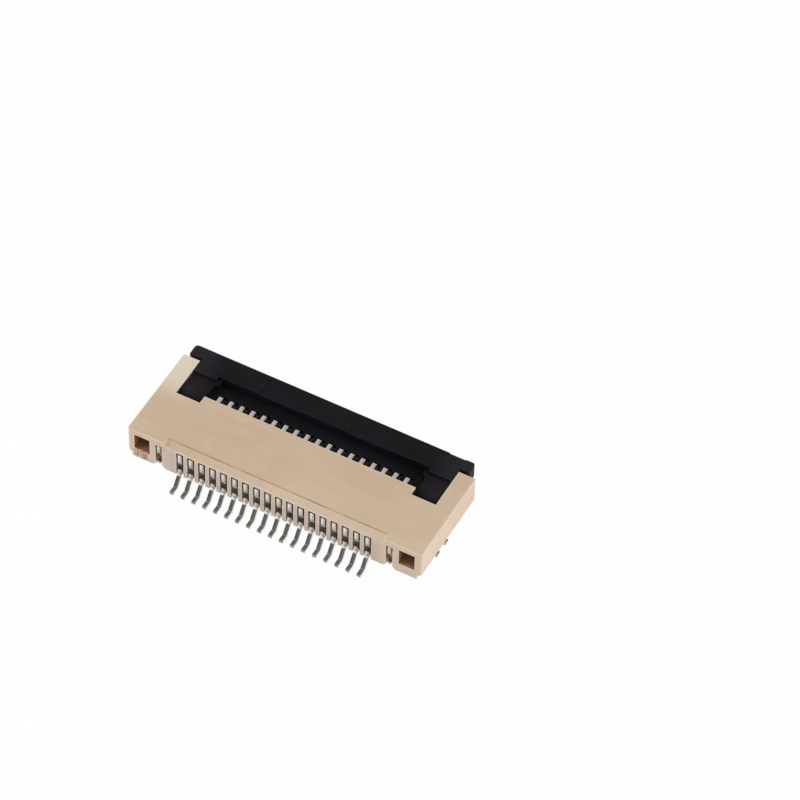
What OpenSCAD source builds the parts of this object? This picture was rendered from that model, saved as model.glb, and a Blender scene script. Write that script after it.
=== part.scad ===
// Surface-mount connector for a flat flexible cable, with a flip lock at its front.
// The housing stands on the tails of its contacts and the feet of its two fitting nails.
// Contacts and nails are stamped sheet, pushed into the housing from the rear.
// The lock turns on a cam shaft that lies under the hooks of the contacts.
// Sizes are in millimetres. X runs along the row, Y from the tails to the cable mouth.

/* [Row] */
// Number of contacts in the row
contacts = 18; // [4:1:40]
// Distance from one contact to the next
pitch = 0.5; // [0.45:0.05:0.8]
// Housing length past the last contact at each end
end_len = 2.4; // [2.35:0.05:3]
// Height of the housing's top above the board
height = 2; // [1.95:0.05:2.3]

/* [Housing] */
// Depth from the rear face to the tips of the side arms
arm_reach = 4.5; // [4.45:0.05:4.8]
// Width of each side arm
arm_w = 0.75; // [0.65:0.05:0.8]
// Depth from the rear face to the roof's front edge
roof_depth = 2.94; // [2.8:0.02:3]
// Thickness of the roof over the contacts
roof_t = 0.26; // [0.2:0.02:0.3]
// Width of the well for the lock's boss, beside each arm
well_w = 1.1; // [0.9:0.05:1.1]
// Distance that each well reaches back past the roof's front edge
well_back = 0.39; // [0.3:0.01:0.45]
// Depth of the floor past the tips of the side arms
floor_lead = 0.3; // [0.1:0.05:0.4]
// Height of the rear and of the ends above the board
clear_h = 0.44; // [0.36:0.02:0.46]
// Gap between the keel and the board
board_gap = 0.05; // [0.02:0.01:0.1]
// Height of the lower edge of the end faces
end_edge_h = 0.75; // [0.65:0.05:0.85]
// Depth of the undercut below each end face
undercut = 0.2; // [0.1:0.05:0.3]
// Radius of the two upright corners at the rear
corner_r = 0.12; // [0.05:0.01:0.25]
// Radius of the upright corners on the tips of the side arms
tip_r = 0.06; // [0.03:0.01:0.12]
// Distance that the keel stays inside each end face
keel_in = 0.4; // [0.25:0.05:0.5]
// Depth of the bevel along the rear edge of the roof
bevel_d = 0.32; // [0.2:0.02:0.4]
// Drop of that bevel
bevel_h = 0.18; // [0.06:0.02:0.2]
// Broken edge along the tips of the side arms
tip_edge = 0.03; // [0.02:0.01:0.06]
// Thickness of the keel under the contacts
keel_t = 0.25; // [0.2:0.01:0.28]

/* [Cable slot] */
// Height of the cable slot
cable_h = 0.42; // [0.36:0.02:0.46]
// Width of the cable slot past the last contact at each side
cable_side = 0.55; // [0.45:0.05:0.6]
// Depth from the rear face to the stop that the cable meets
cable_stop = 1.15; // [1.1:0.05:1.5]

/* [End pockets] */
// Wall between the end face and the moulding pocket in the rear face
pocket_in = 0.31; // [0.2:0.01:0.4]
// Width of the moulding pocket
pocket_w = 0.7; // [0.5:0.01:0.72]
// Height of the moulding pocket
pocket_h = 0.83; // [0.6:0.01:0.9]
// Depth of the moulding pocket
pocket_d = 1.5; // [0.5:0.1:2]
// Wall above the moulding pocket
pocket_roof = 0.24; // [0.2:0.01:0.3]

/* [Contacts] */
// Thickness of the contact sheet
contact_t = 0.18; // [0.14:0.01:0.19]
// Gap at each side of a contact at the mouth of its slot
mouth_gap = 0.07; // [0.04:0.01:0.08]
// Gap at each side of a contact inside the housing
slot_gap = 0.02; // [0.01:0.01:0.03]
// Height of a contact's lower arm at the rear
arm_h = 0.38; // [0.3:0.02:0.4]
// Height of the stub above the notch in a contact's rear
stub_h = 0.5; // [0.4:0.02:0.54]
// Gap over the stub
stub_gap = 0.08; // [0.04:0.01:0.12]
// Height of the upper beam, which carries the hook
beam_h = 0.24; // [0.18:0.01:0.28]
// Distance that the tails reach behind the rear face
tail_reach = 0.7; // [0.65:0.05:0.9]
// Thickness of a tail and its foot
tail_t = 0.13; // [0.12:0.01:0.18]
// Slope of a tail between its foot and its arm
tail_slope = 53; // [45:1:65]
// Distance that a contact is set in from the rear face
set_in = 0.01; // [0.01:0.01:0.1]
// Depth from the rear face to the back of a contact's web
web_y = 0.2; // [0.16:0.02:0.26]
// Depth of the web
web_d = 0.8; // [0.7:0.05:0.85]
// Length of a contact's lower arm that lies on the keel
seat_d = 0.9; // [0.6:0.05:1]
// Height that the contact point stands above the cable floor
point_rise = 0.1; // [0.05:0.01:0.12]
// Distance of the contact point in front of the shaft's axis
point_lead = 0.25; // [0.1:0.05:0.3]
// Free room in front of the tip of a contact
tip_room = 0.2; // [0.1:0.05:0.4]

/* [Fitting nails] */
// Thickness of the nail sheet
nail_t = 0.16; // [0.12:0.01:0.2]
// Gap at each side of a nail in its slot
nail_gap = 0.03; // [0.02:0.01:0.05]
// Gap at each side of a nail at the mouth of its slot
nail_mouth_gap = 0.06; // [0.03:0.01:0.08]
// Height of a nail's stub, which shows in the mouth of its slot
nail_stub_h = 0.42; // [0.36:0.02:0.5]
// Height of the notch below that stub
nail_notch_h = 0.48; // [0.4:0.02:0.56]
// Rise of the notch in the lower edge of the rear, under each nail
notch_rise = 0.26; // [0.2:0.02:0.32]
// Width of that notch
notch_w = 0.56; // [0.5:0.02:0.64]
// Distance from the end face to the middle of a nail
nail_in = 1.43; // [1.4:0.01:1.45]
// Distance that a nail's feet stay inside the end face
foot_in = 0.15; // [0.05:0.05:0.4]
// Depth from the rear face to a nail's feet
foot_y = 1.67; // [1.4:0.01:1.7]
// Width of the two feet and the gap between them
foot_span = 0.92; // [0.8:0.02:1]
// Width of one foot
foot_w = 0.22; // [0.15:0.01:0.3]

/* [Lock] */
// Radius of the cam shaft
shaft_r = 0.17; // [0.14:0.01:0.18]
// Distance of the shaft's axis in front of the roof's edge
shaft_lead = 0.14; // [0.13:0.01:0.18]
// Gap between the shaft and the hooks
hook_gap = 0.03; // [0.02:0.01:0.04]
// Thickness of the hook over the shaft
hook_t = 0.2; // [0.14:0.01:0.2]
// Reach of a hook's nose in front of the shaft's axis
hook_nose = 0.3; // [0.2:0.01:0.32]
// Reach of the cam below the shaft's axis
cam_reach = 0.31; // [0.25:0.01:0.34]
// Gap between the lock and the housing
lock_gap = 0.04; // [0.03:0.01:0.06]
// Gap at each side of a hook in the lock's comb
comb_gap = 0.04; // [0.03:0.01:0.06]
// Thickness of the front plate
plate_t = 0.65; // [0.55:0.01:0.7]
// Distance from the shaft's axis to the raised front plate
plate_start = 1.04; // [1:0.02:1.1]
// Distance that the front plate reaches back beside the bosses
plate_ear = 0.2; // [0.1:0.05:0.25]
// Height of the bosses' legs above the shaft's axis
leg_h = 0.4; // [0.3:0.02:0.44]
// Gap between the lock and the guides of the cable
under_gap = 0.08; // [0.05:0.01:0.1]
// Distance that the lip reaches past the arm tips
lip_reach = 0.745; // [0.6:0.005:0.9]
// Distance that the lip stays inside the left end face
lip_in_left = 0.18; // [0.1:0.01:0.5]
// Distance that the lip stays inside the right end face
lip_in_right = 0.35; // [0.1:0.01:0.5]
// Radius of the lip's upright corners
lip_corner = 0.25; // [0.1:0.01:0.4]
// Radius of the lip's top edge
lip_r = 0.15; // [0.05:0.01:0.25]
// Depth of the two finger recesses in the front plate
recess_h = 0.045; // [0.02:0.005:0.08]
// Width of each finger recess
recess_w = 1.95; // [0.8:0.05:2]
// Distance from the middle of the row to each finger recess
recess_in = 1.05; // [0.8:0.05:1.5]
// Width of the relief round the moulding gate
gate_w = 0.75; // [0.5:0.05:0.9]
// Depth of that relief
gate_d = 0.1; // [0.05:0.01:0.12]

/* [Hidden] */
$fn = 48;
// Overshoot of every cut through a face
cut = 0.5;
row_half = (contacts - 1) * pitch / 2;
half_len = row_half + end_len;
slot_top = height - roof_t;
arm_x = half_len - arm_w;
well_x = arm_x - well_w;
well_y = roof_depth - well_back;
lock_bottom = height - plate_t;
cable_half = row_half + cable_side;
cable_top = lock_bottom - under_gap;
cable_z = cable_top - cable_h;
floor_front = arm_reach + floor_lead;
nail_x = half_len - nail_in;
nail_slot = nail_t / 2 + nail_gap;
keel_half = nail_x - nail_slot - 0.1;
// The walls between the contacts end this far behind the roof's front edge
wall_back = 0.12;
// Floor of the channels, on which the contacts lie
channel_z = board_gap + keel_t;
web_front = web_y + web_d;

hook_r = shaft_r + hook_gap + hook_t;
// Rise of the hooks over the undersurface of the roof
hook_rise = 0.1;
shaft_y = roof_depth + shaft_lead;
shaft_z = slot_top + hook_rise - hook_r;
boss_r = shaft_lead + well_back - lock_gap;
well_z = shaft_z - boss_r - lock_gap;
// Once open, the band stands upright in front of the roof's edge
band_top = shaft_z + shaft_lead - lock_gap;
plate_y = shaft_y + plate_start;
lip_y = arm_reach + lip_reach;
point_y = shaft_y + point_lead;
tip_y = point_y + 0.38;
lip_left = -half_len + lip_in_left;
lip_right = half_len - lip_in_right;
// The windows of the comb pass round the hooks as the lock turns
window_r = norm([hook_nose, hook_r]) + 0.04;
// The back of the lip turns just clear of the arm tips
tip_swing = norm([arm_reach - shaft_y, height - tip_edge - shaft_z]);
lip_back = shaft_y + tip_swing + lock_gap;
comb_slot = contact_t / 2 + comb_gap;

// The origin lies on the board, under the middle of the part
origin_y = (lip_y - tail_reach) / 2;

function contact_name(i) = str("contact_", i < 10 ? "0" : "", i);
CONTACT_NODES = [for (i = [1:contacts]) contact_name(i)];

// Points on an arc about [cu, cv] from angle a to angle b, both ends included
function arc(cu, cv, r, a, b, steps = 6) =
    [for (i = [0:steps]) let (t = a + (b - a) * i / steps) [cu + r * cos(t), cv + r * sin(t)]];

// A block between two opposite corners
module block(low, high) {
    translate(low)
        cube(high - low);
}

// The same shape at both ends of the row
module both_ends() {
    children();
    mirror([1, 0, 0])
        children();
}

// A profile drawn in Y and Z, given the thickness t along X with its middle at x
module across(x, t) {
    translate([x - t / 2, 0, 0])
        rotate([90, 0, 90])
            linear_extrude(height = t)
                children();
}

// Every piece is drawn with its rear face at Y = 0, and placed about the origin
module placed() {
    translate([0, -origin_y, 0])
        children();
}

// ---------------------------------------------------------------- housing

// Plan of the housing without its floor: the roof, the end blocks and the arms
module housing_plan() {
    polygon(concat(
        arc(-half_len + corner_r, corner_r, corner_r, 180, 270),
        arc(half_len - corner_r, corner_r, corner_r, 270, 360),
        arc(half_len - tip_r, arm_reach - tip_r, tip_r, 0, 90),
        arc(-half_len + tip_r, arm_reach - tip_r, tip_r, 90, 180)
    ));
}

// The undercut below each end face, with a chamfer where it meets the face
module end_undercut() {
    translate([0, -cut, 0])
        rotate([90, 0, 0])
            mirror([0, 0, 1])
                linear_extrude(height = arm_reach + 2 * cut)
                    polygon([
                        [half_len - undercut, -cut], [half_len + cut, -cut], [half_len + cut, end_edge_h],
                        [half_len, end_edge_h], [half_len - undercut, end_edge_h - undercut / 2]
                    ]);
}

// Slot for one contact: wide at the rear mouth, close round the web and the upper beam
module contact_slot(x) {
    mouth = contact_t / 2 + mouth_gap;
    side = contact_t / 2 + slot_gap;
    // The mouth, open at the bottom for the tail
    block([x - mouth, -cut, 0], [x + mouth, web_y, slot_top]);
    // Room for the web, and for the upper beam over the cable
    block([x - side, web_y - cut, channel_z], [x + side, roof_depth + cut, slot_top]);
    // Relief over the hook
    block([x - side, roof_depth - hook_r, slot_top - cut / 2],
          [x + side, roof_depth + cut, slot_top + hook_rise + hook_gap]);
    // Channel in the floor for the spring arm
    block([x - side, web_y, channel_z], [x + side, tip_y + tip_room, cable_z + cut / 2]);
}

// Slot for one fitting nail: wide at the rear mouth, close round the plate, and open below by a notch
module nail_slot_cut() {
    mouth = nail_t / 2 + nail_mouth_gap;
    stem_end = foot_y + foot_span + 0.06;
    block([nail_x - mouth, -cut, clear_h], [nail_x + mouth, web_y, slot_top - 0.04]);
    block([nail_x - nail_slot, -cut, -cut], [nail_x + nail_slot, well_y - 0.1, slot_top - 0.04]);
    block([nail_x - nail_slot, -cut, -cut], [nail_x + nail_slot, stem_end, clear_h + 0.24]);
    translate([0, -cut, 0])
        rotate([90, 0, 0])
            mirror([0, 0, 1])
                linear_extrude(height = stem_end + cut)
                    polygon([
                        [nail_x - notch_w / 2, clear_h], [nail_x - notch_w / 2, clear_h - cut],
                        [nail_x + notch_w / 2, clear_h - cut], [nail_x + notch_w / 2, clear_h],
                        [nail_x, clear_h + notch_rise]
                    ]);
}

// Square moulding pocket in the rear face of an end block
module moulding_pocket() {
    top = height - pocket_roof;
    right = half_len - pocket_in;
    block([right - pocket_w, -cut, top - pocket_h], [right, pocket_d, top]);
}

module housing() {
    color("burlywood")
        placed()
            difference() {
                union() {
                    translate([0, 0, board_gap])
                        linear_extrude(height = height - board_gap)
                            housing_plan();
                    // The floor reaches past the arms, under the lip of the lock
                    block([-arm_x, roof_depth, board_gap], [arm_x, floor_front, cable_top]);
                }
                // Under the rear, where the tails are soldered
                block([-half_len - cut, -cut, -cut], [half_len + cut, web_front, clear_h]);
                both_ends() {
                    // Under the end blocks, where the nails are soldered
                    block([keel_half, -cut, -cut], [half_len + cut, foot_y + foot_span + 0.3, clear_h]);
                    end_undercut();
                    block([half_len - keel_in, -cut, -cut], [half_len + cut, floor_front + cut, clear_h]);
                    nail_slot_cut();
                    moulding_pocket();
                    // Well for the boss of the lock
                    block([well_x, well_y, well_z], [arm_x, shaft_y + boss_r + 0.1, height + cut]);
                }
                // Bay for the lock between the arms, over the guides of the cable
                block([-arm_x, roof_depth, cable_top], [arm_x, floor_front + cut, height + cut]);
                // Cable slot, open to the front
                block([-cable_half, cable_stop, cable_z], [cable_half, floor_front + cut, cable_top + 0.01]);
                // The shaft's room under the roof's front edge
                block([-well_x, roof_depth - wall_back, cable_z], [well_x, roof_depth + cut, slot_top]);
                // Lead-in along the front of the cable floor
                across(0, 2 * cable_half)
                    polygon([[floor_front - 0.2, cable_z], [floor_front + cut, cable_z - 0.2 - cut],
                             [floor_front + cut, cable_z + 0.1], [floor_front - 0.2, cable_z + 0.1]]);
                // Bevel along the rear edge of the roof
                bevel_half = row_half + 0.68;
                across(0, 2 * bevel_half)
                    polygon([[bevel_d, height], [-cut, height - bevel_h * (1 + cut / bevel_d)],
                             [-cut, height + cut], [bevel_d, height + cut]]);
                // Broken edge on the tips of the arms, which the lip passes as it turns
                across(0, 2 * half_len + cut)
                    polygon([[arm_reach - tip_edge, height], [arm_reach, height - tip_edge],
                             [arm_reach + cut, height - tip_edge], [arm_reach + cut, height + cut],
                             [arm_reach - tip_edge, height + cut]]);
                for (i = [1:contacts])
                    contact_slot(-row_half + (i - 1) * pitch);
            }
}

// ---------------------------------------------------------------- contacts

// Side view of the tail: a flat foot on the board, a slope, and the arm that enters the housing
module tail_profile() {
    heel_r = 0.07;
    heel = -tail_reach + 0.28;
    knee_r = 0.08;
    outer = heel_r + tail_t;
    // The knee lies where the slope reaches the arm's height
    run = (clear_h - knee_r + knee_r * cos(tail_slope) - outer * (1 - cos(tail_slope))) / tan(tail_slope);
    knee = heel + outer * sin(tail_slope) + run + knee_r * sin(tail_slope);
    polygon(concat(
        [[-tail_reach, 0]],
        arc(heel, outer, outer, -90, -90 + tail_slope),
        arc(knee, clear_h - knee_r, knee_r, 90 + tail_slope, 90),
        [[web_front, clear_h], [web_front, clear_h + arm_h], [0, clear_h + arm_h], [0, clear_h + tail_t]],
        arc(knee, clear_h - knee_r, knee_r + tail_t, 90, 90 + tail_slope),
        arc(heel, outer, heel_r, -90 + tail_slope, -90),
        [[-tail_reach, tail_t]]
    ));
}

// Side view of the spring arm, which lies on the keel, rises to the contact point and turns down
module spring_profile() {
    free = web_front + seat_d;
    point_r = 0.1;
    point_z = cable_z + point_rise - point_r;
    polygon([
        [web_front - 0.1, clear_h], [web_front, clear_h], [web_front, channel_z], [free, channel_z],
        [point_y - 0.05, point_z - 0.09], [point_y + 0.3, point_z - 0.28],
        [tip_y, point_z - 0.16], [point_y + 0.06, point_z + 0.08],
        [point_y - 0.05, point_z + 0.085], [free, channel_z + 0.2],
        [web_front + 0.2, channel_z + 0.32], [web_front - 0.1, clear_h + arm_h]
    ]);
    translate([point_y, point_z])
        circle(r = point_r);
}

// Side view of the upper beam, with the hook that holds the shaft of the lock down
module beam_profile() {
    nose_r = 0.07;
    nose_z = shaft_z + 0.14;
    nose_y = shaft_y + hook_nose;
    hook_z = shaft_z + hook_r;
    difference() {
        union() {
            polygon([
                [web_y, slot_top - 0.45], [web_front, slot_top - 0.45],
                [web_front + 0.15, slot_top - beam_h], [shaft_y - hook_r, slot_top - beam_h],
                [shaft_y - shaft_r - hook_gap, nose_z], [nose_y, nose_z], [nose_y, hook_z - nose_r],
                [nose_y - nose_r, hook_z], [shaft_y - shaft_lead - 0.04, hook_z],
                [shaft_y - shaft_lead - 0.08, slot_top], [web_y, slot_top]
            ]);
            translate([nose_y - nose_r, hook_z - nose_r])
                circle(r = nose_r);
        }
        translate([shaft_y, shaft_z])
            circle(r = shaft_r + hook_gap);
    }
}

// One contact: tail, web, rear stub, spring arm below the cable and hooked beam above it
module contact(i) {
    color("lightgray")
        placed()
            across(-row_half + (i - 1) * pitch, contact_t) {
                tail_profile();
                spring_profile();
                beam_profile();
                // Web between the two arms
                translate([web_y, clear_h])
                    square([web_d, slot_top - clear_h]);
                // Stub that closes the upper part of the slot's mouth
                translate([set_in, slot_top - stub_gap - stub_h])
                    square([web_y - set_in + 0.01, stub_h]);
            }
}

// ---------------------------------------------------------------- fitting nails

// One fitting nail: an upright plate in the end block, and two feet turned out below it
module fitting_nail() {
    bend_r = 0.1;
    foot_tip = half_len - foot_in;
    stem_y = foot_y + foot_span;
    fork_x = nail_x + 0.45 * (foot_tip - nail_x);
    plate_back = well_y - 0.15;
    stub_top = slot_top - stub_gap;
    stub_low = stub_top - nail_stub_h;
    color("lightgray")
        placed()
            difference() {
                union() {
                    across(nail_x, nail_t)
                        polygon([
                            [set_in, stub_low], [web_y, stub_low], [web_y, stub_low - nail_notch_h],
                            [set_in, stub_low - nail_notch_h], [set_in, clear_h + 0.2],
                            [foot_y, clear_h + 0.2], [foot_y, nail_t + bend_r], [stem_y, nail_t + bend_r],
                            [stem_y, clear_h + 0.2], [plate_back, clear_h + 0.2],
                            [plate_back, slot_top - 0.04], [web_y, slot_top - 0.04],
                            [web_y, stub_top], [set_in, stub_top]
                        ]);
                    // Quarter bend from the plate to the feet
                    intersection() {
                        translate([nail_x + nail_t / 2 + bend_r, stem_y, nail_t + bend_r])
                            rotate([90, 0, 0])
                                difference() {
                                    cylinder(r = nail_t + bend_r, h = foot_span);
                                    translate([0, 0, -cut])
                                        cylinder(r = bend_r, h = foot_span + 2 * cut);
                                }
                        block([nail_x - nail_t, foot_y - cut, 0],
                              [nail_x + nail_t / 2 + bend_r, stem_y + cut, nail_t + bend_r]);
                    }
                    block([nail_x + nail_t / 2 + bend_r, foot_y, 0], [foot_tip, stem_y, nail_t]);
                }
                // Gap between the two feet
                block([fork_x, foot_y + foot_w, -cut], [foot_tip + cut, stem_y - foot_w, nail_t + cut]);
            }
}

// ---------------------------------------------------------------- lock

// Side view of the cam shaft: a round back under the hooks and a lobe towards the cable
module cam_profile() {
    lobe_r = 0.1;
    lobe = cam_reach - lobe_r;
    translate([shaft_y, shaft_z]) {
        circle(r = shaft_r);
        translate([0, -lobe])
            circle(r = lobe_r);
        polygon([[-shaft_r * 0.95, -shaft_r * 0.3], [shaft_r * 0.95, -shaft_r * 0.3],
                 [lobe_r * 0.98, -lobe], [-lobe_r * 0.98, -lobe]]);
    }
}

// Side view of the front plate from y to the rounded lip
module plate_profile(y) {
    translate([y, lock_bottom])
        square([lip_y - lip_r - y, height - lock_bottom]);
    translate([y, lock_bottom])
        square([lip_y - y, height - lip_r - lock_bottom]);
    translate([lip_y - lip_r, height - lip_r])
        circle(r = lip_r);
}

// Boss at each end of the shaft, which turns in the housing's well
module boss(inner, outer) {
    across((inner + outer) / 2, outer - inner)
        translate([shaft_y, shaft_z])
            circle(r = boss_r);
    // Leg from the boss to the plate, wider once it clears the roof's edge as it turns
    reach = norm([shaft_lead, height - shaft_z]) + lock_gap;
    translate([0, 0, lock_bottom])
        linear_extrude(height = shaft_z + leg_h - lock_bottom)
            polygon([
                [outer, shaft_y], [outer, plate_y + 0.01], [inner - 0.2, plate_y + 0.01],
                [inner - 0.2, shaft_y + reach + 0.15], [inner, shaft_y + reach], [inner, shaft_y]
            ]);
}

// What is cut away outside a rounded upright corner
module corner_cut() {
    difference() {
        block([0, 0, 0], [lip_corner + cut, lip_corner + cut, height + cut]);
        translate([0, 0, -cut])
            cylinder(r = lip_corner, h = height + 3 * cut);
    }
}

module actuator() {
    boss_in = well_x + lock_gap;
    boss_out = arm_x - lock_gap;
    color("darkslategray")
        placed()
            difference() {
                union() {
                    // Band from the shaft to the plate, between and under the hooks
                    difference() {
                        block([-boss_out, shaft_y, lock_bottom], [boss_out, plate_y + 0.01, band_top]);
                        for (i = [1:contacts])
                            translate([-row_half + (i - 1) * pitch, 0, 0])
                                block([-comb_slot, shaft_y - cut, lock_bottom - cut],
                                      [comb_slot, shaft_y + window_r, height + cut]);
                    }
                    across(0, 2 * boss_in + 0.02)
                        cam_profile();
                    both_ends()
                        boss(boss_in, boss_out);
                    // Front plate, longer beside the bosses
                    across(0, 2 * boss_out)
                        plate_profile(plate_y);
                    both_ends()
                        across((boss_in + boss_out) / 2, boss_out - boss_in)
                            plate_profile(plate_y - plate_ear);
                    // Lip, which runs in front of the arm tips
                    across((lip_left + lip_right) / 2, lip_right - lip_left)
                        plate_profile(lip_back);
                }
                // Rounded upright corners of the lip
                translate([lip_right - lip_corner, lip_y - lip_corner, 0])
                    corner_cut();
                translate([lip_left + lip_corner, lip_y - lip_corner, 0])
                    mirror([1, 0, 0])
                        corner_cut();
                // Two shallow finger recesses
                both_ends()
                    block([recess_in, plate_y - cut, height - recess_h],
                          [recess_in + recess_w, lip_y + cut, height + cut]);
                // Relief for the moulding gate at one end
                block([boss_out - gate_w, lip_y - gate_d, 0], [boss_out, lip_y + cut, height + cut]);
            }
}

// ---------------------------------------------------------------- nodes

housing();
actuator();
fitting_nail();  // fitting_nail_right
mirror([1, 0, 0]) fitting_nail();  // fitting_nail_left
for (i = [1:contacts])
    contact(i);
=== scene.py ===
import math

import bpy
import numpy as np
from mathutils import Matrix, Vector


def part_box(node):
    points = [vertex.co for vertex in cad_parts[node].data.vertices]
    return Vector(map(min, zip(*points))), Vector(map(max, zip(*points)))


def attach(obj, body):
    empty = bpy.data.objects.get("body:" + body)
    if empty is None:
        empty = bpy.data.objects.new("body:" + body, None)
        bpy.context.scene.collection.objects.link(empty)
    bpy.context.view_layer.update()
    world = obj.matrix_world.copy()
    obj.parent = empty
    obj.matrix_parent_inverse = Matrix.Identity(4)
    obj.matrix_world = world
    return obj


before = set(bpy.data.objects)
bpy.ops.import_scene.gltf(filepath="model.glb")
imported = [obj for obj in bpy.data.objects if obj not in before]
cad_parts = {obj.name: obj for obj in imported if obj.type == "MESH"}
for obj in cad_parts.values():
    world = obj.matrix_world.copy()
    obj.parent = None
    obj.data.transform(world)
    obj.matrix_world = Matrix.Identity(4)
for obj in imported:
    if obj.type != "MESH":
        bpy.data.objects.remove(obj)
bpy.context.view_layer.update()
scene = bpy.context.scene
MM = 0.001


# ---------------------------------------------------------------- the view
# A long lens looks down on the rear of the connector, a little from its right end,
# so that the row of tails, the roof and the closed lock all show at once.

def place_camera(turn, rise, tilt, aim, distance, lens):
    """Camera that looks at a point from an azimuth and an elevation, turned by tilt about its own axis."""
    away = Vector((math.sin(turn) * math.cos(rise), -math.cos(turn) * math.cos(rise), math.sin(rise)))
    level = (-away).cross(Vector((0, 0, 1))).normalized()
    upright = level.cross(-away)
    right = level * math.cos(tilt) + upright * math.sin(tilt)
    up = upright * math.cos(tilt) - level * math.sin(tilt)
    camera = bpy.data.objects.new("camera", bpy.data.cameras.new("camera"))
    scene.collection.objects.link(camera)
    turned = Matrix((right, up, away)).transposed().to_4x4()
    camera.matrix_world = Matrix.Translation(aim + away * distance) @ turned
    camera.data.sensor_width = 36
    camera.data.lens = lens
    camera.data.clip_start = 1 * MM
    camera.data.clip_end = 10
    scene.camera = camera


# The aim lies beyond the lock, so that the connector stands low and to the left in the view
housing_low, housing_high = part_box("housing")
place_camera(
    turn=math.radians(27.122), rise=math.radians(49.426), tilt=math.radians(1.799),
    aim=Vector((1.706 * MM, housing_low.y + 7.3756 * MM, 1 * MM)), distance=183.795 * MM, lens=205.261,
)
scene.view_settings.view_transform = "Standard"


# ---------------------------------------------------------------- housing
# The housing is one piece of ivory liquid crystal polymer, injection moulded in a spark-eroded
# mould. Its skin has a fine grain and faint flow streaks, its edges are barely broken, and a
# witness line of the rear insert runs along the upper edge of the bevel.

# Places in millimetres, from the boxes of the housing and of the first contact, and three sizes that
# the housing has in the solids
left_end, rear = housing_low.x / MM, housing_low.y / MM
arm_tip, roof = housing_high.y / MM, housing_high.z / MM
contact_names = sorted(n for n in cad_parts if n.startswith("contact_"))
first_low, first_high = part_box(contact_names[0])
first_x = (first_low.x + first_high.x) / 2 / MM
row_end = -first_x
arm_width = 0.75
roof_thickness = 0.26
bevel_depth = 0.32


def put(tree, kind, wires=None, **settings):
    """A shader node of a kind, with its settings. Each input is wired to an output or set to a value."""
    made = tree.nodes.new("ShaderNode" + kind)
    for name, value in settings.items():
        setattr(made, name, value)
    for name, value in (wires or {}).items():
        if isinstance(value, bpy.types.NodeSocket):
            tree.links.new(value, made.inputs[name])
        else:
            made.inputs[name].default_value = value
    return made


def calc(tree, operation, *terms):
    """The output of a Math node on up to three terms, each an output or a number."""
    return put(tree, "Math", dict(enumerate(terms)), operation=operation).outputs[0]


def times(tree, product, *others):
    """The product of masks or numbers."""
    for other in others:
        product = calc(tree, "MULTIPLY", product, other)
    return product


def without(tree, mask, other):
    """A mask that is taken away where another one is 1."""
    return times(tree, mask, calc(tree, "SUBTRACT", 1.0, other))


def ramp(tree, value, low, high, start=0.0, end=1.0):
    """A value carried smoothly from start to end while it goes from low to high."""
    sockets = {"Value": value, "From Min": low, "From Max": high, "To Min": start, "To Max": end}
    return put(tree, "MapRange", sockets, interpolation_type="SMOOTHSTEP").outputs[0]


def tint(tree, factor, below, above):
    """Colour from one to another, each an output or an RGB triple, as the factor goes from 0 to 1."""
    # A Mix node has its two colours at inputs 6 and 7, and the mixed one at output 2
    made = put(tree, "Mix", data_type="RGBA")
    for slot, value in ((0, factor), (6, below), (7, above)):
        if isinstance(value, bpy.types.NodeSocket):
            tree.links.new(value, made.inputs[slot])
        else:
            made.inputs[slot].default_value = (*value, 1) if slot else value
    return made.outputs[2]


def linear(red, green, blue):
    """Linear colour of an sRGB one given from 0 to 255."""
    value = np.array([red, green, blue]) / 255
    return tuple(np.where(value <= 0.04045, value / 12.92, ((value + 0.055) / 1.055) ** 2.4).tolist())


def effect(name, inputs, outputs):
    """A new node group of number inputs, given with their values, and number outputs; with its end nodes."""
    tree = bpy.data.node_groups.new(name, "ShaderNodeTree")
    for label, value in inputs.items():
        socket = tree.interface.new_socket(label, in_out="INPUT", socket_type="NodeSocketFloat")
        socket.default_value = value
    for label in outputs:
        tree.interface.new_socket(label, in_out="OUTPUT", socket_type="NodeSocketFloat")
    return tree, tree.nodes.new("NodeGroupInput").outputs, tree.nodes.new("NodeGroupOutput").inputs


def give(tree, outputs, **values):
    """Wires a group's named outputs."""
    for label, value in values.items():
        tree.links.new(value, outputs[label])


def use(tree, group, **values):
    """An effect placed in a material with its own values; returns its outputs."""
    made = put(tree, "Group", node_tree=group)
    for label, value in values.items():
        made.inputs[label].default_value = value
    return made.outputs


def in_mm(tree, stretch=(1, 1, 1)):
    """Object coordinates in millimetres, each axis times its own stretch."""
    place = put(tree, "TexCoord").outputs["Object"]
    scale = tuple(s / MM for s in stretch)
    return put(tree, "VectorMath", {0: place, 1: scale}, operation="MULTIPLY").outputs[0]


def place_in_mm(tree):
    """X, Y and Z in millimetres, as separate outputs."""
    return put(tree, "SeparateXYZ", {0: in_mm(tree)}).outputs


def faces_right(tree):
    """1 where a surface faces +X, -1 where it faces -X."""
    return put(tree, "SeparateXYZ", {0: put(tree, "TexCoord").outputs["Normal"]}).outputs["X"]


def noise(tree, place, scale, detail=2.0, rough=0.5, warp=0.0):
    """Noise of so many grains to the millimetre, from 0 to 1."""
    sockets = {"Vector": place, "Scale": scale, "Detail": detail, "Roughness": rough, "Distortion": warp}
    return put(tree, "TexNoise", sockets).outputs[0]


def openness(tree, distance, **settings):
    """1 where nothing is within a distance above a surface, down to 0 where the surface is shut in."""
    return put(tree, "AmbientOcclusion", {"Distance": distance}, samples=8, **settings).outputs["AO"]


def new_tree(name):
    """A new material and its empty node tree."""
    made = bpy.data.materials.new(name)
    made.use_nodes = True
    made.node_tree.nodes.clear()
    return made, made.node_tree


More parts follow.
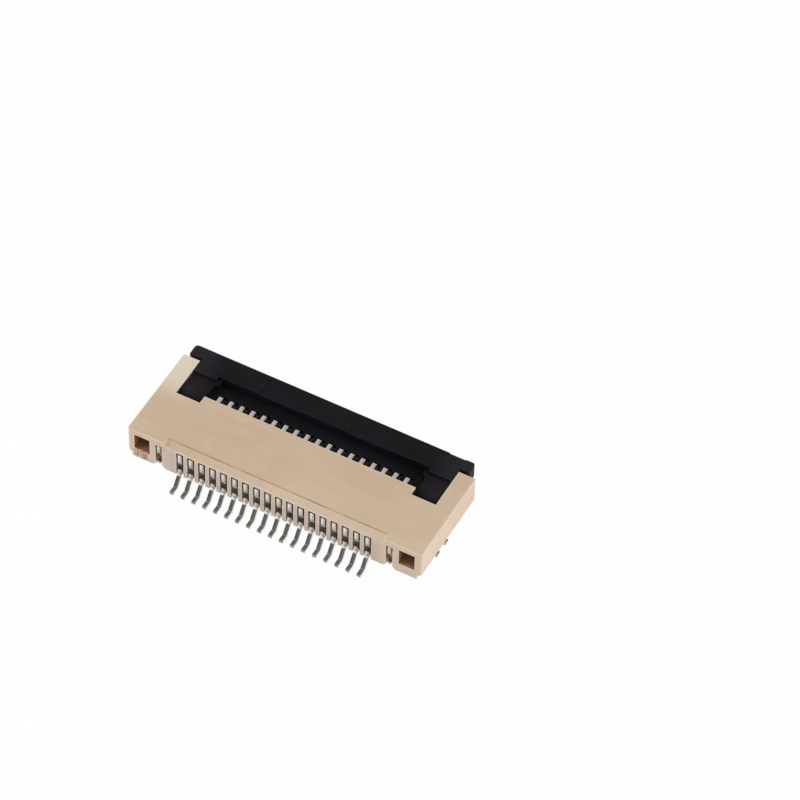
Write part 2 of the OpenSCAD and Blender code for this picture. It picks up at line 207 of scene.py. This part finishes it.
def finish_material(colour, roughness, height, depth, **sockets):
    """Principled surface with colour, roughness and bump height from nodes, and the rest plain values."""
    tree = colour.id_data
    skin = put(tree, "BsdfPrincipled", {"Base Color": colour, "Roughness": roughness})
    for label, value in sockets.items():
        skin.inputs[label.replace("_", " ")].default_value = value
    bump = put(tree, "Bump", {"Height": height, "Distance": depth, "Strength": 1.0})
    tree.links.new(bump.outputs[0], skin.inputs["Normal"])
    tree.links.new(skin.outputs[0], put(tree, "OutputMaterial").inputs[0])


def dress(node, material, radius):
    """A CAD node gets its material, and its sharp edges the small radius that a mould or a press leaves.
    Its facets are welded and the flat ones joined first, so that only true edges are rounded."""
    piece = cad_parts[node]
    for place in piece.material_slots:
        place.link = "OBJECT"
        place.material = material
    weld = piece.modifiers.new("one_skin", "WELD")
    weld.merge_threshold = 0.0001 * MM
    flat = piece.modifiers.new("flat_faces", "DECIMATE")
    flat.decimate_type = "DISSOLVE"
    flat.angle_limit = math.radians(0.5)
    bevel = piece.modifiers.new("broken_edges", "BEVEL")
    bevel.width = radius
    bevel.segments = 2
    bevel.limit_method = "ANGLE"
    bevel.angle_limit = math.radians(35)
    bevel.harden_normals = True


# Skin of a moulded piece: flow streaks along the row, cloudy mottle, and the mould's fine grain
moulded_skin, given, out = effect("moulded_skin", {"Flow": 0.5, "Grain": 24.0}, ["Flow", "Mottle", "Grain"])
streaked = in_mm(moulded_skin, (0.45, 1.4, 1.0))
mottle_scale = times(moulded_skin, given["Flow"], 3.1)
give(
    moulded_skin, out,
    Flow=noise(moulded_skin, streaked, given["Flow"], detail=3.0, rough=0.55, warp=1.2),
    Mottle=noise(moulded_skin, in_mm(moulded_skin), mottle_scale, detail=4.0, rough=0.6, warp=0.3),
    Grain=noise(moulded_skin, in_mm(moulded_skin), given["Grain"], rough=0.6),
)

# Recess shade: 1 deep in slots, pockets and gaps, where a piece shuts in its own surface within a reach
recess_shade, given, out = effect("recess_shade", {"Reach": 0.3}, ["Shade"])
open_to = openness(recess_shade, times(recess_shade, given["Reach"], MM), only_local=True)
give(recess_shade, out, Shade=ramp(recess_shade, open_to, 0.22, 0.82, 1.0, 0.0))

# Edges lightened by wearing and by a painted highlight: a mask that is 1 where the surface turns within a
# width, broken up along the edge
worn_and_highlit_edges, given, out = effect("worn_and_highlit_edges", {"Width": 0.04, "Breakup": 6.0}, ["Edge"])
width = times(worn_and_highlit_edges, given["Width"], MM)
rounded = put(worn_and_highlit_edges, "Bevel", {"Radius": width}, samples=4).outputs[0]
normals = {0: rounded, 1: put(worn_and_highlit_edges, "NewGeometry").outputs["Normal"]}
aligned = put(worn_and_highlit_edges, "VectorMath", normals, operation="DOT_PRODUCT").outputs["Value"]
turned = ramp(worn_and_highlit_edges, calc(worn_and_highlit_edges, "SUBTRACT", 1.0, aligned), 0.004, 0.06)
patches = noise(worn_and_highlit_edges, in_mm(worn_and_highlit_edges), given["Breakup"], detail=3.0, rough=0.6)
give(worn_and_highlit_edges, out, Edge=times(worn_and_highlit_edges, turned, ramp(worn_and_highlit_edges, patches, 0.25, 0.6, 0.35, 1.0)))


def ivory_ground(tree, place, skin):
    """Colour of the ivory in the open: flow, cloud, a paler patch on the left arm, mottle and grain."""
    colour = tint(tree, ramp(tree, skin["Flow"], 0.3, 0.7), linear(192, 167, 132), linear(201, 176, 141))
    cloud = noise(tree, in_mm(tree), 0.16)
    colour = tint(tree, ramp(tree, cloud, 0.4, 0.65, 0.0, 0.5), colour, linear(205, 184, 149))
    # Paler towards the tip of the left arm
    paler_left_arm = times(tree, ramp(tree, place["X"], left_end + 0.25, left_end + 2.05, 0.8, 0.0),
                        ramp(tree, place["Y"], arm_tip - 3.0, arm_tip - 1.4))
    colour = tint(tree, paler_left_arm, colour, linear(220, 209, 183))
    colour = tint(tree, ramp(tree, skin["Mottle"], 0.52, 0.78, 0.0, 0.6), colour, linear(211, 178, 148))
    return tint(tree, ramp(tree, skin["Grain"], 0.55, 0.8, 0.0, 0.3), colour, linear(181, 154, 125))


def ivory_ribs_and_painted_shade(tree, place, colour, shade):
    """The ivory's colour, greyer on the rear ends of the ribs between the contacts, and darkened by a painted
    shade where it is shut in: brown in the pockets, near black in the row of slots, less so, as painted
    light, on the rear parts of their walls that face right, to the light, and dark, as a painted shade of the
    lock, on the inner walls of the arms while the lock is beside them."""
    off_middle = calc(tree, "ABSOLUTE", place["X"])
    in_row = ramp(tree, off_middle, row_end + 0.35, row_end + 0.65, 1.0, 0.0)
    slot_top = roof - roof_thickness
    ribs = times(tree, ramp(tree, place["Y"], rear + 0.06, rear + 0.16, 0.35, 0.0), in_row,
                 ramp(tree, place["Z"], slot_top - 0.19, slot_top - 0.04, 1.0, 0.0))
    colour = tint(tree, ribs, colour, linear(172, 160, 152))

    facing = faces_right(tree)
    # Painted light: the rear parts of the slot walls that face right keep more of their colour
    lit_walls = times(tree, ramp(tree, facing, 0.5, 0.9), in_row,
                      ramp(tree, place["Y"], rear + 0.8, rear + 1.2, 0.7, 0.0))
    # Painted shade: brown in the pockets and near black in the row of slots
    painted_shade_colour = tint(tree, in_row, linear(142, 90, 40), linear(56, 43, 32))
    colour = tint(tree, times(tree, without(tree, shade, lit_walls), 0.88), colour, painted_shade_colour)

    inner_wall = -left_end - arm_width
    arm_walls = times(tree, ramp(tree, calc(tree, "ABSOLUTE", facing), 0.5, 0.9),
                      ramp(tree, place["Y"], arm_tip - 2.8, arm_tip - 2.6),
                      ramp(tree, off_middle, inner_wall + 0.1, inner_wall + 0.3, 0.9, 0.0))
    # Painted shade of the lock on the inner walls of the arms while it is beside them
    painted_lock_shade = ramp(tree, openness(tree, 0.5 * MM), 0.55, 0.97, 1.0, 0.0)
    return tint(tree, times(tree, arm_walls, painted_lock_shade), colour, linear(64, 48, 36))


def insert_line(tree, place):
    """Witness line of the rear insert, along the upper edge of the bevel, and how much an edge may be
    lightened
    by wearing and a painted highlight: 0.15 beside the line, where the insert leaves it sharp, and 1 away
    from it."""
    line_end = row_end + 0.68
    off_middle = calc(tree, "ABSOLUTE", place["X"])
    from_line = calc(tree, "ABSOLUTE", calc(tree, "SUBTRACT", place["Y"], rear + bevel_depth))
    over_row = times(tree, ramp(tree, place["Z"], roof - 0.03, roof - 0.015),
                     ramp(tree, off_middle, line_end, line_end + 0.05, 1.0, 0.0))
    line = times(tree, ramp(tree, from_line, 0.018, 0.042, 1.0, 0.0), over_row)
    near = times(tree, ramp(tree, from_line, 0.1, 0.2, 1.0, 0.0), over_row)
    return line, ramp(tree, near, 0.0, 1.0, 1.0, 0.15)


def moulded_ivory():
    """Ivory polymer, faintly translucent, with painted shade in its recesses, edges lightened by wearing and
    a painted highlight, and the insert's witness line.
    """
    material, tree = new_tree("moulded_ivory")
    place = place_in_mm(tree)
    skin = use(tree, moulded_skin, Flow=0.42, Grain=26.0)
    edge = use(tree, worn_and_highlit_edges, Width=0.12, Breakup=3.0)["Edge"]
    shade = use(tree, recess_shade, Reach=1.2)["Shade"]
    colour = ivory_ribs_and_painted_shade(tree, place, ivory_ground(tree, place, skin), shade)
    line, edge_light_weight = insert_line(tree, place)
    # Edges lighter, partly by wearing and partly a painted highlight, kept out of the painted shade and away
    # from the witness line
    edge_wear_and_highlight = times(tree, without(tree, edge, shade), edge_light_weight, 0.5)
    colour = tint(tree, edge_wear_and_highlight, colour, linear(238, 220, 196))
    filled = ramp(tree, noise(tree, in_mm(tree, (1.0, 0.0, 0.0)), 0.9), 0.35, 0.65, 0.45, 1.0)
    colour = tint(tree, times(tree, line, filled), colour, linear(152, 119, 88))
    roughness = ramp(tree, skin["Grain"], 0.3, 0.7, 0.44, 0.56)
    height = calc(tree, "SUBTRACT", skin["Grain"], line)
    finish_material(
        colour, roughness, height, depth=0.002 * MM, Subsurface_Weight=0.12,
        Subsurface_Radius=(1.0, 0.6, 0.35), Subsurface_Scale=0.12 * MM, IOR=1.62, Coat_Weight=0.35,
        Coat_Roughness=0.3,
    )
    return material


dress("housing", moulded_ivory(), radius=0.012 * MM)


# ---------------------------------------------------------------- gate stub
# The moulding gate tears off under the left moulding pocket and leaves a low, rough stub
# on the rear face, crumbled, darkened in its hollows by a painted shade, and flecked with pale spots.

def grid_mesh(name, points):
    """A piece from an array of points, rows by columns by XYZ, that faces to where rows x columns points."""
    rows, columns = points.shape[:2]
    corner = np.arange(rows * columns).reshape(rows, columns)
    faces = np.stack([corner[:-1, :-1], corner[1:, :-1], corner[1:, 1:], corner[:-1, 1:]], axis=-1)
    mesh = bpy.data.meshes.new(name)
    mesh.from_pydata(points.reshape(-1, 3).tolist(), [], faces.reshape(-1, 4).tolist())
    mesh.polygons.foreach_set("use_smooth", [True] * len(mesh.polygons))
    made = bpy.data.objects.new(name, mesh)
    scene.collection.objects.link(made)
    return made


def torn_stub(left, bottom, length, height, proud, sunk):
    """Torn end of a moulding gate on the rear face, y = rear + sunk - (proud + sunk) * rise, where
    rise = (1 - u^6) * (1 - w^6) * (0.35 + 0.65 * crumbs), with u and w from -1 to 1 over the patch.
    Its rim is ragged and sunk into the face."""
    u, w = np.meshgrid(np.linspace(-1, 1, 61), np.linspace(-1, 1, 31), indexing="ij")
    coarse = 0.5 + 0.5 * np.sin(7.3 * u + 2.1 * np.sin(5.2 * w)) * np.cos(6.1 * w - 1.7 * np.sin(8.4 * u))
    fine = 0.5 + 0.5 * np.sin(19.0 * u + 1.3) * np.sin(13.0 * w + 3.1 * u)
    crumbs = 0.7 * coarse + 0.3 * fine
    rise = (1 - u ** 6) * (1 - w ** 6) * (0.35 + 0.65 * crumbs)
    ragged = 1 + 0.06 * np.sin(9.0 * np.arctan2(w, u) + 1.0)
    x = left + length / 2 * (1 + u * ragged)
    z = bottom + height / 2 * (1 + w * ragged)
    return np.stack([x, rear + sunk - (proud + sunk) * rise, z], axis=-1) * MM


def torn_ivory():
    """The ivory where it tore: crumbs that are darker where their bump sinks, a painted shade of the hollows,
    with pale flecks, and no moulded skin.
    """
    material, tree = new_tree("torn_ivory")
    crumb_height_and_shade = noise(tree, in_mm(tree), 9.0, detail=4.0, rough=0.65)
    fleck = noise(tree, in_mm(tree), 21.0, detail=3.0, rough=0.7, warp=0.6)
    # The crumbs are darker where their bump sinks: a painted shade of the hollows
    colour = tint(tree, ramp(tree, crumb_height_and_shade, 0.35, 0.62), linear(150, 116, 82), linear(204, 173, 140))
    colour = tint(tree, ramp(tree, fleck, 0.55, 0.7, 0.0, 0.7), colour, linear(228, 204, 184))
    finish_material(colour, ramp(tree, fleck, 0.3, 0.7, 0.55, 0.8), crumb_height_and_shade, depth=0.01 * MM, IOR=1.62)
    return material


stub = grid_mesh("gate_stub", torn_stub(
    left=left_end + 0.25, bottom=0.50, length=0.64, height=0.47, proud=0.09, sunk=0.012))
stub.data.materials.append(torn_ivory())
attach(stub, "base")


# ---------------------------------------------------------------- contacts
# Eighteen contacts are blanked from phosphor bronze sheet and plated with tin over nickel.
# Each blanked edge is bright where the punch sheared it and dull where the sheet broke.

# Blanked sheet: rolling lines along the sheet, cloudy plating, and a break line along each blanked edge
blanked_sheet, given, out = effect(
    "blanked_sheet", {"Pitch": 0.5, "Middle": 0.0, "Thickness": 0.16, "Rolling": 30.0},
    ["Lines", "Cloud", "Break"],
)
across = calc(blanked_sheet, "SUBTRACT", place_in_mm(blanked_sheet)["X"], given["Middle"])
half = times(blanked_sheet, given["Pitch"], 0.5)
within = calc(blanked_sheet, "WRAP", across, half, times(blanked_sheet, half, -1.0))
wander = noise(blanked_sheet, in_mm(blanked_sheet, (0.0, 1.0, 1.0)), 9.0, detail=3.0)
cut_at = times(blanked_sheet, ramp(blanked_sheet, wander, 0.2, 0.8, -0.1, 0.25), given["Thickness"])
rolled = in_mm(blanked_sheet, (1.0, 0.06, 1.0))
give(
    blanked_sheet, out,
    Lines=noise(blanked_sheet, rolled, given["Rolling"], detail=3.0, rough=0.6),
    Cloud=noise(blanked_sheet, in_mm(blanked_sheet), 7.0, detail=4.0, rough=0.6, warp=0.5),
    Break=ramp(blanked_sheet, calc(blanked_sheet, "SUBTRACT", within, cut_at), -0.006, 0.006),
)

# A place in Y behind the whole connector, for sheet that isn't dipped, and the height of a painted shade
undipped = -9.0
mid_shade_height = 1.02


def plated(name, pitch, middle, thickness, bright, dull, rough, dipped=undipped):
    """Plated sheet metal, bright on its rolled faces and where it was sheared, duller past the break line,
    greyer at half height as a painted shade, greyer and rougher where it was dipped in tin, behind a place in
    Y, lighter on its edges by wearing and a painted highlight, and darkened by a painted shade where it is
    shut in."""
    material, tree = new_tree(name)
    place = place_in_mm(tree)
    sheet = use(tree, blanked_sheet, Pitch=pitch, Middle=middle, Thickness=thickness, Rolling=34.0)
    blanked = ramp(tree, calc(tree, "ABSOLUTE", faces_right(tree)), 0.5, 0.8, 1.0, 0.0)
    broken = times(tree, sheet["Break"], blanked)
    edge = use(tree, worn_and_highlit_edges, Width=0.02, Breakup=12.0)["Edge"]
    tinned = times(tree, ramp(tree, place["Y"], dipped - 0.02, dipped + 0.02, 1.0, 0.0), blanked)
    # Painted shade: the blanked edges greyer about half height
    from_mid_shade = calc(tree, "ABSOLUTE", calc(tree, "SUBTRACT", place["Z"], mid_shade_height))
    painted_mid_shade = times(tree, ramp(tree, from_mid_shade, 0.14, 0.4, 0.75, 0.0), blanked)
    tin = tint(tree, sheet["Cloud"], linear(168, 164, 160), linear(140, 137, 134))
    # Painted shade where any piece shuts the metal in within 0.4 mm
    painted_metal_shade = ramp(tree, openness(tree, 0.4 * MM), 0.08, 0.42, 0.75, 0.0)

    colour = tint(tree, blanked, linear(240, 237, 233), bright)
    colour = tint(tree, times(tree, broken, 0.6), colour, dull)
    colour = tint(tree, painted_mid_shade, colour, linear(142, 136, 128))
    colour = tint(tree, ramp(tree, sheet["Cloud"], 0.35, 0.7, 0.0, 0.35), colour, dull)
    colour = tint(tree, tinned, colour, tin)
    # Edges lighter, partly by wearing and partly a painted highlight
    colour = tint(tree, times(tree, edge, 0.5), colour, linear(236, 232, 226))
    colour = tint(tree, painted_metal_shade, colour, linear(78, 70, 62))

    roughness = ramp(tree, sheet["Cloud"], 0.3, 0.7, rough, rough + 0.1)
    for rougher in (broken, tinned):
        roughness = calc(tree, "ADD", roughness, times(tree, rougher, 0.14))
    height = calc(tree, "ADD", sheet["Lines"], times(tree, broken, -0.6))
    finish_material(colour, roughness, height, depth=0.0012 * MM, Metallic=1.0)
    return material


contact_metal = plated(
    "plated_bronze", pitch=(row_end - first_x) / (len(contact_names) - 1), middle=first_x,
    thickness=(first_high.x - first_low.x) / MM, bright=linear(238, 233, 226),
    dull=linear(172, 164, 155), rough=0.24, dipped=rear - 0.1,
)
for name in contact_names:
    dress(name, contact_metal, radius=0.008 * MM)


# ---------------------------------------------------------------- fitting nails
# A fitting nail of tinned brass stands in each end block. It is blanked as the contacts are,
# pushed in from the rear, and its two feet are turned out to be soldered to the board.

nail_thickness = 0.16
nail_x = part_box("fitting_nail_right")[0].x / MM + nail_thickness / 2
nail_metal = plated(
    "tinned_brass", pitch=2 * nail_x, middle=nail_x, thickness=nail_thickness,
    bright=linear(216, 211, 203), dull=linear(166, 158, 148), rough=0.28,
)
for name in ("fitting_nail_left", "fitting_nail_right"):
    dress(name, nail_metal, radius=0.008 * MM)


# ---------------------------------------------------------------- lock
# The lock is one piece of black glass-filled polymer. Its comb of windows takes the contacts'
# hooks, and its cam shaft snaps in under them from the front. Its skin is duller than the housing's.

def moulded_black():
    """Black polymer with hardly any shine, a little greyer towards the ends, darkened by a painted shade
    where it is shut in, and with edges lightened by wearing and a painted highlight.
    """
    material, tree = new_tree("moulded_black")
    skin = use(tree, moulded_skin, Flow=0.6, Grain=30.0)
    edge = use(tree, worn_and_highlit_edges, Width=0.04, Breakup=4.0)["Edge"]
    shade = use(tree, recess_shade, Reach=1.0)["Shade"]
    off_middle = calc(tree, "ABSOLUTE", place_in_mm(tree)["X"])
    # A little greyer towards the ends
    greyer_ends = ramp(tree, off_middle, row_end + 0.35, row_end + 1.75, 0.0, 0.7)
    colour = tint(tree, ramp(tree, skin["Flow"], 0.3, 0.7), linear(17, 16, 18), linear(22, 21, 24))
    colour = tint(tree, ramp(tree, skin["Mottle"], 0.5, 0.75, 0.0, 0.4), colour, linear(30, 27, 30))
    colour = tint(tree, greyer_ends, colour, linear(43, 39, 42))
    # Painted shade where the lock is shut in
    colour = tint(tree, times(tree, shade, 0.4), colour, linear(16, 15, 18))
    # Edges lighter, partly by wearing and partly a painted highlight, none in the painted shade
    colour = tint(tree, times(tree, without(tree, edge, shade), 0.45), colour, linear(58, 56, 61))
    roughness = ramp(tree, skin["Grain"], 0.3, 0.7, 0.5, 0.66)
    finish_material(colour, roughness, skin["Grain"], depth=0.002 * MM, Specular_IOR_Level=0.08)
    return material


dress("actuator", moulded_black(), radius=0.014 * MM)


# ---------------------------------------------------------------- table and light
# A white table under an even white sky. Three soft boxes light the dull surfaces only. Gloss mirrors
# sky, table and two cards: a dark one low behind the tails and a grey one high over the front.

def flat_sheet(name, corners):
    """One four-sided face on its corners."""
    mesh = bpy.data.meshes.new(name)
    mesh.from_pydata([tuple(c) for c in corners], [], [(0, 1, 2, 3)])
    made = bpy.data.objects.new(name, mesh)
    scene.collection.objects.link(made)
    return made


def seen_directly(tree):
    """1 for rays from the camera, from gloss and through glass, and 0 for light on a dull surface."""
    rays = put(tree, "LightPath").outputs
    mirrored = calc(tree, "MAXIMUM", rays["Is Glossy Ray"], rays["Is Transmission Ray"])
    return calc(tree, "MAXIMUM", rays["Is Camera Ray"], mirrored)


def white_table():
    """White paper that keeps a trace of the connector's shadow and is otherwise seen as pure white."""
    material, tree = new_tree("white_table")
    paper = put(tree, "BsdfDiffuse", {"Color": (0.86, 0.86, 0.86, 1)}).outputs[0]
    glow = put(tree, "Emission", {"Color": (1, 1, 1, 1), "Strength": 1.0}).outputs[0]
    mixed = put(tree, "MixShader", {0: times(tree, seen_directly(tree), 0.96), 1: paper, 2: glow})
    tree.links.new(mixed.outputs[0], put(tree, "OutputMaterial").inputs[0])
    return material


def card(name, corners, level):
    """A grey card of a level that only gloss sees."""
    made = flat_sheet(name, corners)
    grey, tree = new_tree(name)
    light = put(tree, "Emission", {"Color": (level, level, level, 1), "Strength": 1.0}).outputs[0]
    tree.links.new(light, put(tree, "OutputMaterial").inputs[0])
    made.data.materials.append(grey)
    made.visible_camera = False
    made.visible_diffuse = False
    made.visible_shadow = False
    made.visible_transmission = False


def white_sky(dull_level):
    """An even world, pure white where it is seen and of a level of its own where it lights dull surfaces."""
    sky = scene.world or bpy.data.worlds.new("sky")
    scene.world = sky
    sky.use_nodes = True
    tree = sky.node_tree
    tree.nodes.clear()
    strength = calc(tree, "MULTIPLY_ADD", seen_directly(tree), 1.0 - dull_level, dull_level)
    air = put(tree, "Background", {"Color": (1, 1, 1, 1), "Strength": strength})
    tree.links.new(air.outputs[0], put(tree, "OutputWorld").inputs[0])


def soft_box(name, place, side, level, colour=(1, 1, 1)):
    """Square area lamp, aimed at the connector and unseen by camera and gloss. It lights a surface that
    faces it at a level, where 1 shows a colour as it is written: power P gives P / (pi * distance)^2."""
    place, aim = Vector(place), Vector((0, 0, 1 * MM))
    lamp = bpy.data.lights.new(name, "AREA")
    lamp.size = side
    lamp.color = colour
    lamp.energy = level * (math.pi * (place - aim).length) ** 2
    made = bpy.data.objects.new(name, lamp)
    scene.collection.objects.link(made)
    made.location = place
    made.rotation_euler = (aim - place).to_track_quat("-Z", "Y").to_euler()
    made.visible_camera = False
    made.visible_glossy = False


table_reach = 3.0
table_z = -0.01 * MM
table = flat_sheet("table", [
    (-table_reach, -table_reach, table_z), (table_reach, -table_reach, table_z),
    (table_reach, table_reach, table_z), (-table_reach, table_reach, table_z),
])
table.data.materials.append(white_table())
card("dark_card", level=0.05, corners=[
    (-0.16, -0.07, 0.003), (0.10, -0.07, 0.003), (0.10, -0.07, 0.055), (-0.16, -0.07, 0.055)])
card("grey_card", level=0.55, corners=[
    (-0.09, 0.03, 0.12), (0.04, 0.03, 0.12), (0.04, 0.11, 0.05), (-0.09, 0.11, 0.05)])
white_sky(dull_level=0.7)
soft_box("soft_box_above", (-0.03, 0.03, 0.14), side=0.08, level=0.10)
soft_box("soft_box_right", (0.15, 0.02, 0.035), side=0.06, level=0.46, colour=(1.10, 1.01, 1.40))
soft_box("soft_box_rear", (-0.05, -0.03, 0.018), side=0.02, level=0.48, colour=(0.90, 0.96, 1.52))
